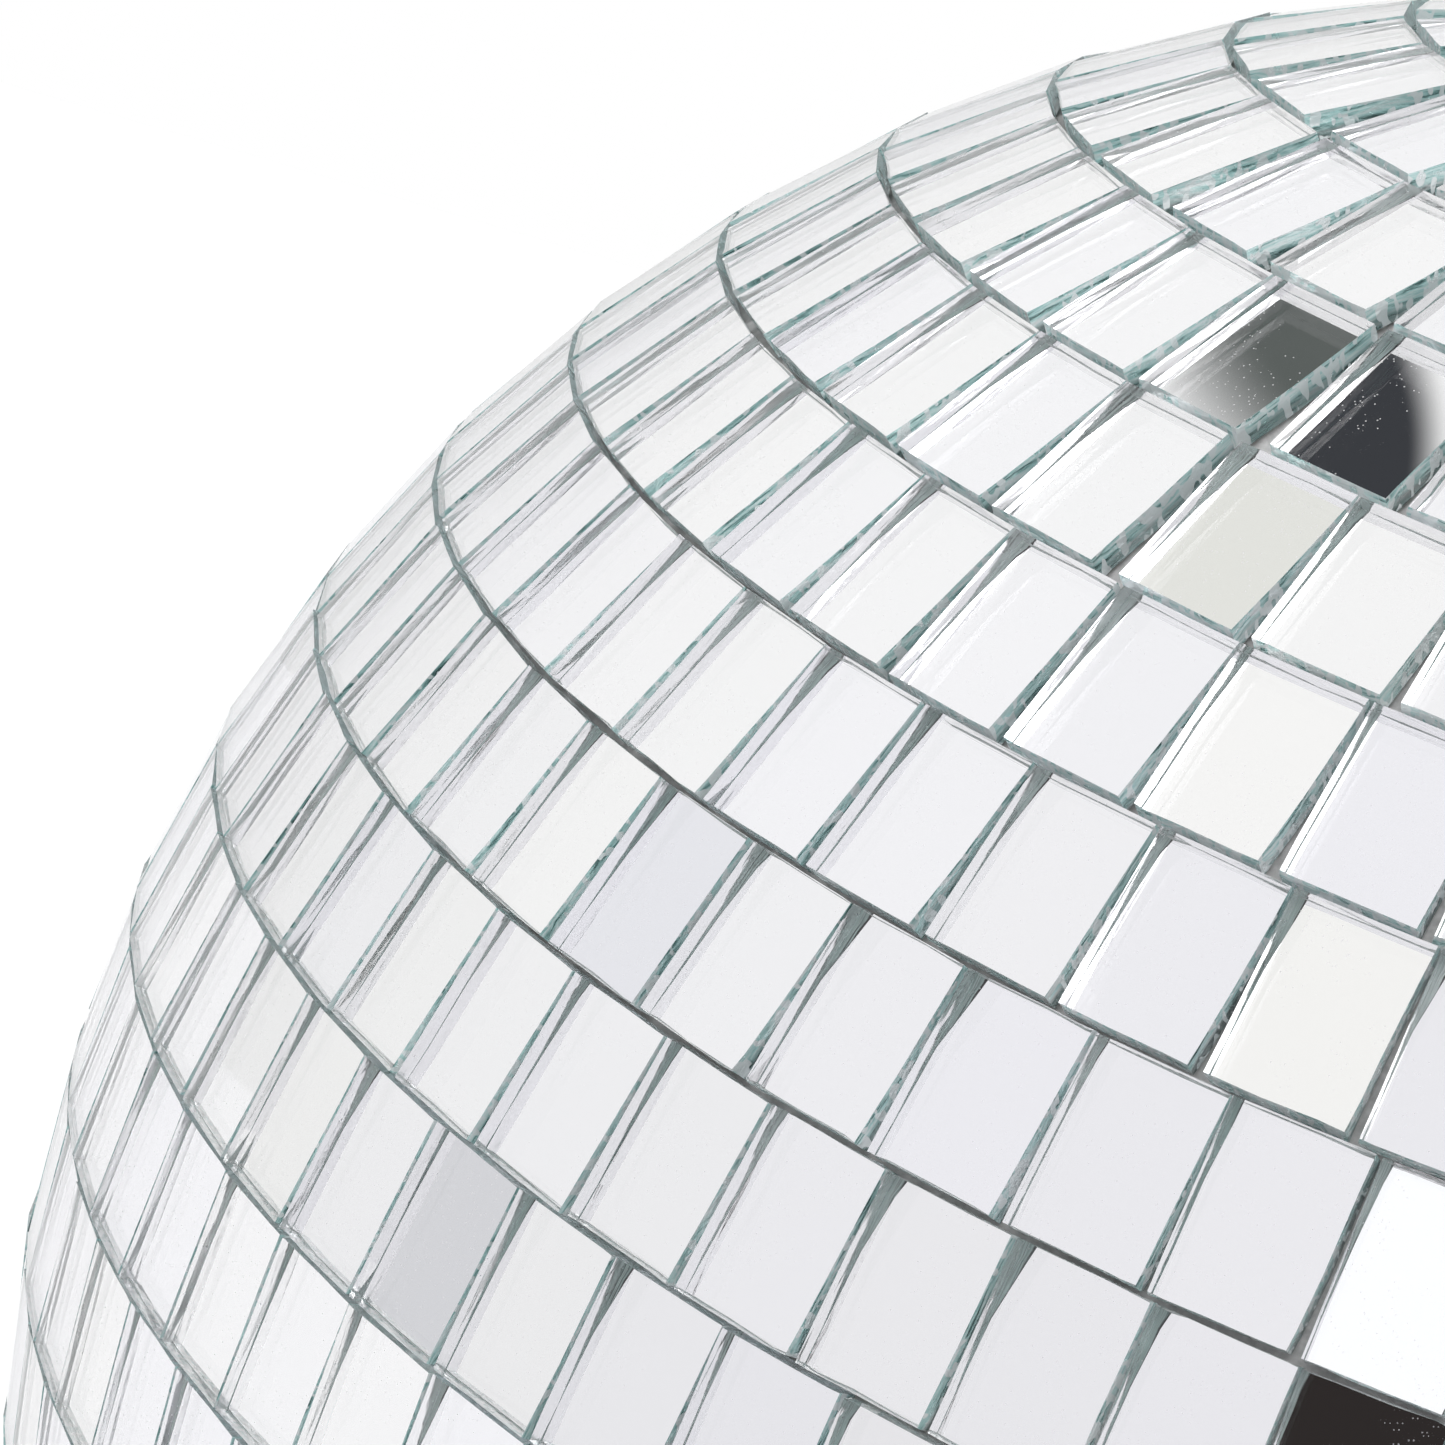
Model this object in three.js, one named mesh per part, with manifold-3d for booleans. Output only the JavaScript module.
// A hanging mirror ball: a hollow two-part plastic core covered with rows of flat glass mirror tiles, drawn together
// by a tie rod, and hung from a swivel eye and ring on its top cap. Millimetres, +Z up. The origin is the point inside
// the top of the hanging ring where a hook bears, so the whole ball hangs below it.
import * as THREE from "three";
import { mergeVertices } from "three/addons/utils/BufferGeometryUtils.js";
import Module from "manifold-3d";

const wasm = await Module();
wasm.setup();

// ---- driving dimensions -------------------------------------------------------------------------------------
const BALL_RADIUS = 100; // to the middle of a tile's face
const CLEARANCE = 0.3; // between pieces that touch on the real object

// Glass tiles, laid in rows like the bands of a barrel. A row is a strip of flat tiles on a backing.
const ROW_PITCH = THREE.MathUtils.degToRad(6.584); // polar angle from one row to the next
const ROW_COUNT = 23; // odd, so the middle row sits on the equator
const TILE_THICKNESS = 2.0; // glass, silvering and backing
const TILES_IN_A_FULL_CIRCLE = 76; // at the equator; other rows have as many as their tighter edge holds
const SEAM_ANGLE = THREE.MathUtils.degToRad(-40); // where the rows' strips start and end, round from the front
const ROW_STARTS = [0.3, 0.3, 0, 0.1, 0, 0.2, 0.6, 0.1, 0.4, -0.1, -0.1, 0.2]; // pole to equator, in tiles past the seam

// Hollow core, moulded in two halves that lap at the equator
const CORE_RADIUS = BALL_RADIUS - TILE_THICKNESS - CLEARANCE;
const CORE_WALL = 2.7;
const CORE_SEGMENTS = 24;
const LAP_HEIGHT = 6;
const LAP_WALL = 2.1;
const LAP_PLAY = 1.2; // inside the upper wall, whose flat facets stand inwards a little

// The flat seat moulded at each pole of the core, and the hub under it that the tie rod runs through
const SEAT_RADIUS = 24.0;
const SEAT_Z = 94.0;
const SEAT_THICKNESS = 3.0;
const HUB_RADIUS = 9.0;
const HUB_BORE = 4.0;
const HUB_LENGTH = 7.0;
const LOWER_BOSS_RADIUS = 11.0; // raised ring on the lower seat that backs the bottom cap
const LOWER_BOSS_BORE = 5.3;

// Pressed steel caps that close both poles
const CAP_RADIUS = 23.6;
const CAP_FACE_RADIUS = 18.0;
const CAP_FACE_Z = 97.8;
const CAP_THICKNESS = 1.5;
const CAP_SEGMENTS = 30;

// Fixings on the top cap, all on one circle
const FIXING_CIRCLE = 13.5;
const SCREW_RADIUS = 1.5; // M3
const SCREW_HOLE_RADIUS = SCREW_RADIUS + CLEARANCE;
const SCREW_LENGTH = 11.0;
const SCREW_HEAD_RADIUS = 2.8;
const SCREW_HEAD_HEIGHT = 1.9;
const SCREW_ANGLES = [45, 135, 225, 315];
const SCREW_POST_RADIUS = 3.6;
const SAFETY_EYE_ANGLES = [0, 180];
const SAFETY_EYE_RADIUS = 4.6; // to the middle of the wire
const SAFETY_WIRE = 1.2;
const SAFETY_COLLAR_RADIUS = 2.6;
const SAFETY_COLLAR_HEIGHT = 1.2;
const M3_FLATS = 5.5; // across the flats of an M3 nut
const M3_NUT_HEIGHT = 2.4;
const THREAD_PAST_NUT = 1.2;

// Tie rod: one long countersunk M6 bolt from the bottom cap to a nut on the upper seat
const ROD_RADIUS = 3.0;
const ROD_HEAD_RADIUS = 6.0;
const ROD_TOP = 102.0;
const M6_FLATS = 10.0; // across the flats of an M6 nut
const M6_NUT_HEIGHT = 5.0;
const WASHER_THICKNESS = 1.2;
const WASHER_RADIUS = 5.8;

// Swivel: a bell housing trapped under the top cap, holding the nut of a turning eye bolt
const HOUSING_RADIUS = 8.0;
const HOUSING_BORE = 6.3;
const HOUSING_FLANGE_RADIUS = 11.5;
const HOUSING_FLANGE_THICKNESS = 1.7;
const HOUSING_TOP = 114.3;
const HOUSING_LIP = 3.0;
const THRUST_WASHER_TOP = HOUSING_TOP - HOUSING_LIP - CLEARANCE;
const SHANK_RADIUS = 2.8;
const SHANK_BOTTOM = 103.5;
const COLLAR_RADIUS = 5.0;
const COLLAR_HEIGHT = 1.5;
const EYE_RADIUS = 6.5; // to the middle of the wire
const EYE_WIRE = 1.75;
const EYE_Z = 123.2;

// Hanging ring, linked through the swivel eye
const RING_RADIUS = 11.0; // to the middle of the wire
const RING_WIRE = 1.6;
const RING_PLAY = 0.5; // between the ring's wire and the top of the eye

const PIVOT_Z = EYE_Z + EYE_RADIUS - EYE_WIRE - RING_PLAY - RING_WIRE; // the ring's lowest wire, where the eye swings
const RING_Z = PIVOT_Z + RING_RADIUS;
const BALL_DROP = RING_Z + RING_RADIUS - RING_WIRE; // from the hanging point down to the ball's centre

// ---- materials ----------------------------------------------------------------------------------------------
const mirror = new THREE.MeshStandardMaterial({ color: 0xeef0f2, roughness: 0.04, metalness: 1.0 });
const blackPlastic = new THREE.MeshStandardMaterial({ color: 0x1c1d1f, roughness: 0.6, metalness: 0.0 });
const chromedSteel = new THREE.MeshStandardMaterial({ color: 0xd8dadd, roughness: 0.12, metalness: 1.0 });
const zincSteel = new THREE.MeshStandardMaterial({ color: 0xb4b6b8, roughness: 0.38, metalness: 1.0 });
const brass = new THREE.MeshStandardMaterial({ color: 0xc9a45a, roughness: 0.3, metalness: 1.0 });

// ---- helpers ------------------------------------------------------------------------------------------------
const point = (r, z) => new THREE.Vector2(r, z);

// Spins a profile of (radius, height) points about the Z axis. The points run up the outside and down the inside, and
// the spin starts at an angle from the front (-Y) towards +X.
function turned(profile, segments, startAngle = 0) {
  return new THREE.LatheGeometry(profile, segments, startAngle).rotateX(Math.PI / 2);
}

// The same for a profile that closes on itself, such as a washer's
function turnedRing(profile, segments, startAngle = 0) {
  return turned([...profile, profile[0]], segments, startAngle);
}

function tube(outer, inner, bottom, top, segments) {
  return turnedRing([point(inner, bottom), point(outer, bottom), point(outer, top), point(inner, top)], segments);
}

function rod(radius, bottom, top, segments) {
  return new THREE.CylinderGeometry(radius, radius, top - bottom, segments)
    .rotateX(Math.PI / 2)
    .translate(0, 0, (bottom + top) / 2);
}

function toSolid(geometry) {
  const bare = geometry.clone();
  bare.deleteAttribute("normal");
  bare.deleteAttribute("uv");
  const merged = mergeVertices(bare, 1e-4);
  return new wasm.Manifold(
    new wasm.Mesh({
      numProp: 3,
      vertProperties: new Float32Array(merged.attributes.position.array),
      triVerts: new Uint32Array(merged.index.array),
    }),
  );
}

function toGeometry(solid) {
  const mesh = solid.getMesh();
  const geometry = new THREE.BufferGeometry();
  geometry.setAttribute("position", new THREE.BufferAttribute(mesh.vertProperties, 3));
  geometry.setIndex(new THREE.BufferAttribute(mesh.triVerts, 1));
  geometry.computeVertexNormals();
  return geometry;
}

// Joins geometries into one body, then cuts others out of it
function shaped(added, removed = []) {
  let solid = toSolid(added[0]);
  for (const extra of added.slice(1)) solid = solid.add(toSolid(extra));
  for (const cut of removed) solid = solid.subtract(toSolid(cut));
  return toGeometry(solid);
}

// Moves a geometry from the Z axis out to the fixing circle, at an angle in degrees, turning it to face outwards
function onFixingCircle(geometry, angle) {
  return geometry.translate(FIXING_CIRCLE, 0, 0).rotateZ(THREE.MathUtils.degToRad(angle));
}

function hexNut(flats, bore, bottom, height) {
  const outline = new THREE.Shape();
  const corner = flats / 2 / Math.cos(Math.PI / 6);
  for (let i = 0; i < 6; i++) {
    const a = (i * Math.PI) / 3;
    if (i === 0) outline.moveTo(corner * Math.cos(a), corner * Math.sin(a));
    else outline.lineTo(corner * Math.cos(a), corner * Math.sin(a));
  }
  outline.closePath();
  outline.holes.push(new THREE.Path().absarc(0, 0, bore, 0, 2 * Math.PI, true));
  const nut = new THREE.ExtrudeGeometry(outline, { depth: height, bevelEnabled: false, curveSegments: 16 });
  return nut.translate(0, 0, bottom);
}

function mesh(name, geometry, material) {
  const made = new THREE.Mesh(geometry, material);
  made.name = name;
  return made;
}

// ---- tile rows ----------------------------------------------------------------------------------------------
// A row is a ring of flat facets, one for each tile. Every facet's middle touches the sphere, and its own tilt makes
// the ring a slice of a many-sided cone. Tiles are rectangles, so the ring holds as many as fit along the edge that
// is nearer the pole.
function tileRow(row) {
  const polar = Math.PI / 2 + (row - (ROW_COUNT + 1) / 2) * ROW_PITCH;
  const towardPole = Math.abs(polar - Math.PI / 2) + ROW_PITCH / 2;
  const tiles = Math.round(TILES_IN_A_FULL_CIRCLE * Math.cos(towardPole));
  const cornerStretch = 1 / Math.cos(Math.PI / tiles);

  // How far a facet's corners stand past its neighbours along the ball, which the row is shortened by
  const cornerRise = BALL_RADIUS * Math.sin(polar) * (cornerStretch - 1) * Math.abs(Math.cos(polar));
  const innerRoom = 2 * (BALL_RADIUS - TILE_THICKNESS) * Math.tan(ROW_PITCH / 2);
  const halfHeight = (innerRoom - CLEARANCE - cornerRise) / 2;

  const fromPole = Math.min(row, ROW_COUNT + 1 - row);
  const startAngle = SEAM_ANGLE + (ROW_STARTS[fromPole - 1] * 2 * Math.PI) / tiles;

  const corner = (along, depth) =>
    point(
      ((BALL_RADIUS - depth) * Math.sin(polar) + along * Math.cos(polar)) * cornerStretch,
      (BALL_RADIUS - depth) * Math.cos(polar) - along * Math.sin(polar),
    );
  return turnedRing(
    [
      corner(halfHeight, 0),
      corner(-halfHeight, 0),
      corner(-halfHeight, TILE_THICKNESS),
      corner(halfHeight, TILE_THICKNESS),
    ],
    tiles,
    startAngle,
  );
}

// ---- core ---------------------------------------------------------------------------------------------------
// Points along a quarter circle in the profile plane, from one polar angle to another
function arc(radius, fromPolar, toPolar, steps) {
  const points = [];
  for (let i = 0; i <= steps; i++) {
    const polar = fromPolar + ((toPolar - fromPolar) * i) / steps;
    points.push(point(radius * Math.sin(polar), radius * Math.cos(polar)));
  }
  return points;
}

// The wall from the equator up to the seat, the seat, the hub under it, and back down inside. For the lower half it
// is drawn as an upper half too, and turned over afterwards.
function coreProfile(edge, boss) {
  const inside = CORE_RADIUS - CORE_WALL;
  const seatUnderside = SEAT_Z - SEAT_THICKNESS;
  const outerPolar = Math.asin(SEAT_RADIUS / CORE_RADIUS);
  const innerPolar = Math.acos(seatUnderside / inside);
  return [
    ...arc(CORE_RADIUS, Math.acos(CLEARANCE / 2 / CORE_RADIUS), outerPolar, 6),
    point(SEAT_RADIUS, SEAT_Z),
    ...boss,
    point(HUB_BORE, seatUnderside - HUB_LENGTH),
    point(HUB_RADIUS, seatUnderside - HUB_LENGTH),
    point(HUB_RADIUS, seatUnderside),
    ...arc(inside, innerPolar, Math.acos(edge.z / inside), 5),
    ...edge.points,
  ];
}

function coreUpperHalf() {
  const edge = { z: CLEARANCE / 2, points: [] };
  const shell = turnedRing(coreProfile(edge, [point(HUB_BORE, SEAT_Z)]), CORE_SEGMENTS);
  const underside = SEAT_Z - SEAT_THICKNESS;
  const screwTip = CAP_FACE_Z - SCREW_LENGTH;
  const postFloor = screwTip - 2;
  const posts = SCREW_ANGLES.map((angle) =>
    onFixingCircle(rod(SCREW_POST_RADIUS, postFloor, underside + 1, 12), angle),
  );
  const screwHoles = SCREW_ANGLES.map((angle) =>
    onFixingCircle(rod(SCREW_HOLE_RADIUS, screwTip - CLEARANCE, SEAT_Z + 1, 12), angle),
  );
  const eyeHoles = SAFETY_EYE_ANGLES.map((angle) =>
    onFixingCircle(rod(SCREW_HOLE_RADIUS, underside - 1, SEAT_Z + 1, 12), angle),
  );
  return shaped([shell, ...posts], [...screwHoles, ...eyeHoles]);
}

// The lower half has the spigot that laps inside the upper one, and a raised ring behind the bottom cap
function coreLowerHalf() {
  const lapOutside = CORE_RADIUS - CORE_WALL - LAP_PLAY;
  const lapInside = lapOutside - LAP_WALL;
  const rootZ = 4;
  const wallEdge = CLEARANCE / 2;
  const edge = {
    z: rootZ,
    points: [
      point(lapInside, rootZ),
      point(lapInside, -LAP_HEIGHT),
      point(lapOutside, -LAP_HEIGHT),
      point(lapOutside, wallEdge),
    ],
  };
  const bossTop = CAP_FACE_Z - CAP_THICKNESS - CLEARANCE;
  const boss = [
    point(LOWER_BOSS_RADIUS, SEAT_Z),
    point(LOWER_BOSS_RADIUS, bossTop),
    point(LOWER_BOSS_BORE, bossTop),
    point(LOWER_BOSS_BORE, SEAT_Z),
    point(HUB_BORE, SEAT_Z),
  ];
  return turnedRing(coreProfile(edge, boss), CORE_SEGMENTS).rotateX(Math.PI);
}

// Keeps the tie rod from crushing the core: it stands between the two hubs
function spacerTube() {
  const end = SEAT_Z - SEAT_THICKNESS - HUB_LENGTH - CLEARANCE;
  const wall = 1;
  return tube(HUB_BORE + wall, HUB_BORE, -end, end, 16);
}

// ---- caps ---------------------------------------------------------------------------------------------------
// A dished steel pressing: a flat face, a sloping shoulder, and a short skirt that stands on the seat
function capProfile(holeAtFace, holeUnder) {
  const skirtBottom = SEAT_Z + CLEARANCE;
  const shoulderZ = skirtBottom + 1.6;
  const under = CAP_FACE_Z - CAP_THICKNESS;
  return [
    point(CAP_RADIUS - CAP_THICKNESS, skirtBottom),
    point(CAP_RADIUS, skirtBottom),
    point(CAP_RADIUS, shoulderZ),
    point(CAP_FACE_RADIUS, CAP_FACE_Z),
    point(holeAtFace, CAP_FACE_Z),
    point(holeUnder, under),
    point(CAP_FACE_RADIUS - CAP_THICKNESS / 2, under),
    point(CAP_RADIUS - CAP_THICKNESS, shoulderZ - CAP_THICKNESS / 2),
  ];
}

function topCap() {
  const hole = HOUSING_RADIUS + 0.4;
  const pressing = turnedRing(capProfile(hole, hole), CAP_SEGMENTS);
  const angles = [...SCREW_ANGLES, ...SAFETY_EYE_ANGLES];
  const holes = angles.map((angle) => onFixingCircle(rod(SCREW_HOLE_RADIUS, SEAT_Z, CAP_FACE_Z + 1, 12), angle));
  return shaped([pressing], holes);
}

// Its hole is countersunk for the tie rod's head, which ends flush with the face
function bottomCap() {
  const hole = ROD_HEAD_RADIUS + CLEARANCE + 0.1;
  return turnedRing(capProfile(hole, hole - CAP_THICKNESS), CAP_SEGMENTS).rotateX(Math.PI);
}

function capScrew() {
  const headBottom = CAP_FACE_Z + CLEARANCE;
  return turned(
    [
      point(0, CAP_FACE_Z - SCREW_LENGTH),
      point(SCREW_RADIUS, CAP_FACE_Z - SCREW_LENGTH + 1),
      point(SCREW_RADIUS, headBottom),
      point(SCREW_HEAD_RADIUS, headBottom),
      point(SCREW_HEAD_RADIUS, headBottom + SCREW_HEAD_HEIGHT * 0.5),
      point(SCREW_HEAD_RADIUS * 0.7, headBottom + SCREW_HEAD_HEIGHT),
      point(0, headBottom + SCREW_HEAD_HEIGHT),
    ],
    12,
  );
}

// An eye bolt for a safety wire: a wire loop on a small collar, over a threaded shank that goes through cap and seat
function safetyEye() {
  const collarBottom = CAP_FACE_Z + CLEARANCE;
  const collarTop = collarBottom + SAFETY_COLLAR_HEIGHT;
  const shankBottom = SEAT_Z - SEAT_THICKNESS - CLEARANCE - M3_NUT_HEIGHT - THREAD_PAST_NUT;
  const loopZ = collarTop + SAFETY_EYE_RADIUS + SAFETY_WIRE * 0.4; // the wire sinks into the collar where it is welded
  const loop = new THREE.TorusGeometry(SAFETY_EYE_RADIUS, SAFETY_WIRE, 8, 16)
    .rotateX(Math.PI / 2)
    .rotateZ(Math.PI / 2)
    .translate(0, 0, loopZ);
  const collar = rod(SAFETY_COLLAR_RADIUS, collarBottom, collarTop, 12);
  const shank = rod(SCREW_RADIUS, shankBottom, collarTop, 12);
  return shaped([loop, collar, shank]);
}

function safetyNut() {
  const top = SEAT_Z - SEAT_THICKNESS - CLEARANCE;
  return hexNut(M3_FLATS, SCREW_HOLE_RADIUS, top - M3_NUT_HEIGHT, M3_NUT_HEIGHT);
}

// ---- tie rod ------------------------------------------------------------------------------------------------
function tieRod() {
  const chamfer = 0.5;
  return turned(
    [
      point(0, -CAP_FACE_Z),
      point(ROD_HEAD_RADIUS, -CAP_FACE_Z),
      point(ROD_RADIUS, -CAP_FACE_Z + ROD_HEAD_RADIUS - ROD_RADIUS),
      point(ROD_RADIUS, ROD_TOP - chamfer),
      point(ROD_RADIUS - chamfer, ROD_TOP),
      point(0, ROD_TOP),
    ],
    16,
  );
}

function tieRodWasher() {
  const bottom = SEAT_Z + CLEARANCE;
  return tube(WASHER_RADIUS, ROD_RADIUS + CLEARANCE, bottom, bottom + WASHER_THICKNESS, 20);
}

function tieRodNut() {
  const bottom = SEAT_Z + CLEARANCE + WASHER_THICKNESS + CLEARANCE;
  return hexNut(M6_FLATS, ROD_RADIUS + CLEARANCE, bottom, M6_NUT_HEIGHT);
}

// ---- swivel -------------------------------------------------------------------------------------------------
function swivelHousing() {
  const bottom = SEAT_Z + CLEARANCE;
  const flangeTop = bottom + HOUSING_FLANGE_THICKNESS;
  const neck = SHANK_RADIUS + 0.4;
  return turnedRing(
    [
      point(HOUSING_BORE, bottom),
      point(HOUSING_FLANGE_RADIUS, bottom),
      point(HOUSING_FLANGE_RADIUS, flangeTop),
      point(HOUSING_RADIUS, flangeTop),
      point(HOUSING_RADIUS, HOUSING_TOP - 1),
      point(HOUSING_RADIUS - 1, HOUSING_TOP),
      point(neck, HOUSING_TOP),
      point(neck, HOUSING_TOP - HOUSING_LIP),
      point(HOUSING_BORE, HOUSING_TOP - HOUSING_LIP),
    ],
    24,
  );
}

function thrustWasher() {
  return tube(WASHER_RADIUS, SHANK_RADIUS + CLEARANCE, THRUST_WASHER_TOP - WASHER_THICKNESS, THRUST_WASHER_TOP, 20);
}

function swivelNut() {
  const top = THRUST_WASHER_TOP - WASHER_THICKNESS - CLEARANCE;
  return hexNut(M6_FLATS, SHANK_RADIUS + CLEARANCE, top - M6_NUT_HEIGHT, M6_NUT_HEIGHT);
}

function swivelEye() {
  const collarBottom = HOUSING_TOP + CLEARANCE;
  const collarTop = collarBottom + COLLAR_HEIGHT;
  const loop = new THREE.TorusGeometry(EYE_RADIUS, EYE_WIRE, 8, 20).rotateY(Math.PI / 2).translate(0, 0, EYE_Z);
  const neck = turned(
    [
      point(0, SHANK_BOTTOM),
      point(SHANK_RADIUS, SHANK_BOTTOM),
      point(SHANK_RADIUS, collarBottom),
      point(COLLAR_RADIUS, collarBottom),
      point(COLLAR_RADIUS, collarTop),
      point(EYE_WIRE * 0.8, collarTop + 2),
      point(0, collarTop + 2),
    ],
    20,
  );
  return shaped([neck, loop]);
}

function hangingRing() {
  return new THREE.TorusGeometry(RING_RADIUS, RING_WIRE, 8, 24).rotateX(Math.PI / 2).translate(0, 0, RING_Z);
}

// ---- assembly -----------------------------------------------------------------------------------------------
const ball = new THREE.Group();
ball.position.z = -BALL_DROP;

for (let row = 1; row <= ROW_COUNT; row++) {
  ball.add(mesh(`tile_row_${String(row).padStart(2, "0")}`, tileRow(row), mirror));
}

ball.add(mesh("core_upper_half", coreUpperHalf(), blackPlastic));
ball.add(mesh("core_lower_half", coreLowerHalf(), blackPlastic));
ball.add(mesh("spacer_tube", spacerTube(), zincSteel));

ball.add(mesh("top_cap", topCap(), chromedSteel));
ball.add(mesh("bottom_cap", bottomCap(), chromedSteel));
SCREW_ANGLES.forEach((angle, i) => {
  ball.add(mesh(`cap_screw_${i + 1}`, onFixingCircle(capScrew(), angle), zincSteel));
});
SAFETY_EYE_ANGLES.forEach((angle, i) => {
  ball.add(mesh(`safety_eye_${i + 1}`, onFixingCircle(safetyEye(), angle), zincSteel));
  ball.add(mesh(`safety_nut_${i + 1}`, onFixingCircle(safetyNut(), angle), zincSteel));
});

ball.add(mesh("tie_rod", tieRod(), zincSteel));
ball.add(mesh("tie_rod_washer", tieRodWasher(), zincSteel));
ball.add(mesh("tie_rod_nut", tieRodNut(), zincSteel));

ball.add(mesh("swivel_housing", swivelHousing(), chromedSteel));
ball.add(mesh("thrust_washer", thrustWasher(), brass));
ball.add(mesh("swivel_nut", swivelNut(), zincSteel));
ball.add(mesh("swivel_eye", swivelEye(), chromedSteel));
ball.add(mesh("hanging_ring", hangingRing(), chromedSteel));

const mirrorBall = new THREE.Group();
mirrorBall.add(ball);
export default mirrorBall;
